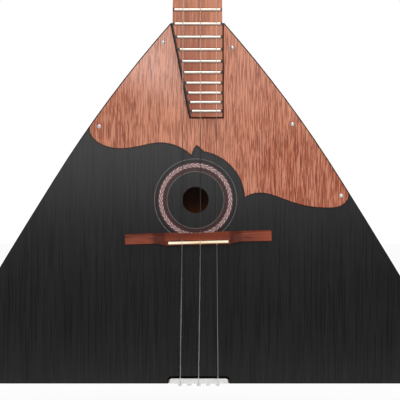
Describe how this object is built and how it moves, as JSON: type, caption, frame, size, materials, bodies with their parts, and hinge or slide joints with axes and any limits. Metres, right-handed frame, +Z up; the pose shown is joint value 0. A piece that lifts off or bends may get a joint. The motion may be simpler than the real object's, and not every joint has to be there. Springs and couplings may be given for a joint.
{
  "type": "balalaika",
  "caption": "Three-string balalaika: triangular sound box with flat soundboard, fretted neck, movable bridge, tail nut and worm-geared tuning machines on a flared head.",
  "frame": {"origin": "middle of the neck's thickness, 12 mm below the nut, where a hanger's yoke holds the neck under the head", "axes": "+Z up the neck, +X to the right of the front view, +Y to the back; the soundboard faces -Y"},
  "size_m": [0.3948, 0.1048, 0.6519],
  "materials": {
    "stained_spruce": "black-stained spruce, satin varnish, fine straight grain",
    "raw_spruce": "raw spruce, unfinished",
    "rosette": "braided inlay, flush and varnished",
    "rosette_edge": "dark red-brown inlay lines, flush and varnished",
    "plate_veneer": "ribbon-grained mahogany, satin varnish",
    "nickel": "polished nickel",
    "nickel_plate": "brushed nickel plate",
    "back_maple": "stained maple, gloss varnish",
    "neck_maple": "stained maple, satin varnish",
    "steel_rod": "plain steel bar",
    "fingerboard_wood": "red-brown hardwood, oiled",
    "pearl": "pearl-like plastic",
    "bone": "polished bone",
    "overlay_veneer": "mahogany veneer, satin varnish",
    "bridge_wood": "red-brown hardwood, satin",
    "ivory_plastic": "ivory-coloured, polished",
    "white_plastic": "white plastic, smooth",
    "pin_wood": "turned dark hardwood, polished",
    "brass_gear": "cut brass",
    "steel_shaft": "turned steel",
    "knob_plastic": "pearl-white plastic",
    "nylon_string": "clear-grey nylon",
    "steel_string": "plain steel wire"
  },
  "bodies": {
    "instrument": {"soundboard": "stained_spruce", "soundhole_patch": "raw_spruce", "rosette_band": "rosette", "rosette_lines": "rosette_edge", "scratch_plate": "plate_veneer", "scratch_plate_pins": "nickel", "bottom_panel": "back_maple", "neck_block": "raw_spruce", "tail_block": "raw_spruce", "corner_block_left": "raw_spruce", "corner_block_right": "raw_spruce", "lining_left": "raw_spruce", "lining_right": "raw_spruce", "lining_bottom": "raw_spruce", "neck": "neck_maple", "neck_rod": "steel_rod", "fingerboard": "fingerboard_wood", "frets": "nickel", "position_dots": "pearl", "nut": "bone", "head_overlay": "overlay_veneer", "bridge": "bridge_wood", "bridge_saddle": "ivory_plastic", "tail_nut": "white_plastic", "end_pins": "pin_wood", "tuner_plate_screws": "nickel", "post_ferrules": "nickel", "stave_right_side": "back_maple", "stave_left_side": "back_maple", "stave_right_flank": "back_maple", "stave_left_flank": "back_maple", "stave_centre": "back_maple", "brace_lower": "raw_spruce", "brace_middle": "raw_spruce", "brace_upper": "raw_spruce", "string_1": "nylon_string", "string_2": "nylon_string", "string_3": "steel_string", "tuner_plate_1": "nickel_plate", "tuner_plate_2": "nickel_plate", "tuner_plate_3": "nickel_plate"},
    "key_1": {"worm_shaft_1": "steel_shaft", "knob_1": "knob_plastic"},
    "peg_1": {"post_1": "nickel", "gear_wheel_1": "brass_gear", "gear_screw_1": "nickel", "winding_1": "nylon_string"},
    "key_2": {"worm_shaft_2": "steel_shaft", "knob_2": "knob_plastic"},
    "peg_2": {"post_2": "nickel", "gear_wheel_2": "brass_gear", "gear_screw_2": "nickel", "winding_2": "nylon_string"},
    "key_3": {"worm_shaft_3": "steel_shaft", "knob_3": "knob_plastic"},
    "peg_3": {"post_3": "nickel", "gear_wheel_3": "brass_gear", "gear_screw_3": "nickel", "winding_3": "steel_string"}
  },
  "joints": [
    {"name": "key_1_turn", "type": "hinge", "parent": "instrument", "child": "key_1", "pos_m": [-0.014, 0.01503, 0.03441], "axis": [-1, 0, 0], "continuous": true},
    {"name": "peg_1_turn", "type": "hinge", "parent": "instrument", "child": "peg_1", "pos_m": [-0.014, -0.00155, 0.04632], "axis": [0, -0.9781, 0.2079], "continuous": true},
    {"name": "key_2_turn", "type": "hinge", "parent": "instrument", "child": "key_2", "pos_m": [-0.014, 0.02418, 0.07745], "axis": [-1, 0, 0], "continuous": true},
    {"name": "peg_2_turn", "type": "hinge", "parent": "instrument", "child": "peg_2", "pos_m": [-0.014, 0.00759, 0.08936], "axis": [0, -0.9781, 0.2079], "continuous": true},
    {"name": "key_3_turn", "type": "hinge", "parent": "instrument", "child": "key_3", "pos_m": [0.014, 0.01961, 0.05593], "axis": [1, 0, 0], "continuous": true},
    {"name": "peg_3_turn", "type": "hinge", "parent": "instrument", "child": "peg_3", "pos_m": [0.014, 0.00302, 0.06784], "axis": [0, -0.9781, 0.2079], "continuous": true}
  ],
  "couplings": [
    {"joint": "peg_1_turn", "follows": "key_1_turn", "ratio": 0.071429},
    {"joint": "peg_2_turn", "follows": "key_2_turn", "ratio": 0.071429},
    {"joint": "peg_3_turn", "follows": "key_3_turn", "ratio": -0.071429}
  ]
}
